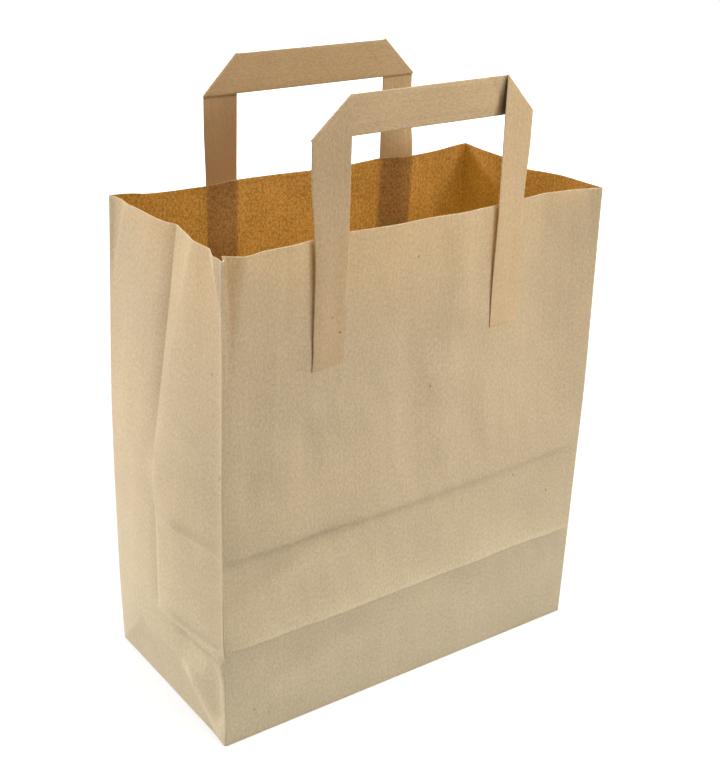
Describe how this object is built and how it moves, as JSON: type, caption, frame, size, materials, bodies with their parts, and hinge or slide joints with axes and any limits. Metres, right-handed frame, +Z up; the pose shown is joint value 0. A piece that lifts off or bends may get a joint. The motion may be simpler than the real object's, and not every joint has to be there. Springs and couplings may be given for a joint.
{
  "type": "paper carrier bag",
  "caption": "Brown kraft block-bottom carrier bag standing open, with a flat folded tape handle glued to the outside of each wide panel.",
  "frame": {"origin": "middle of the base, on the surface that the bag stands on", "axes": "+X along the wide panels, -Y out of the front panel, +Z up through the mouth"},
  "size_m": [0.234, 0.1124, 0.3125],
  "materials": {
    "bag_kraft": "matte unbleached kraft with fine flecks, slightly translucent",
    "handle_kraft": "matte unbleached kraft, folded in several layers"
  },
  "bodies": {
    "root": {"bag_body": "bag_kraft", "front_handle": "handle_kraft", "back_handle": "handle_kraft"}
  },
  "joints": []
}
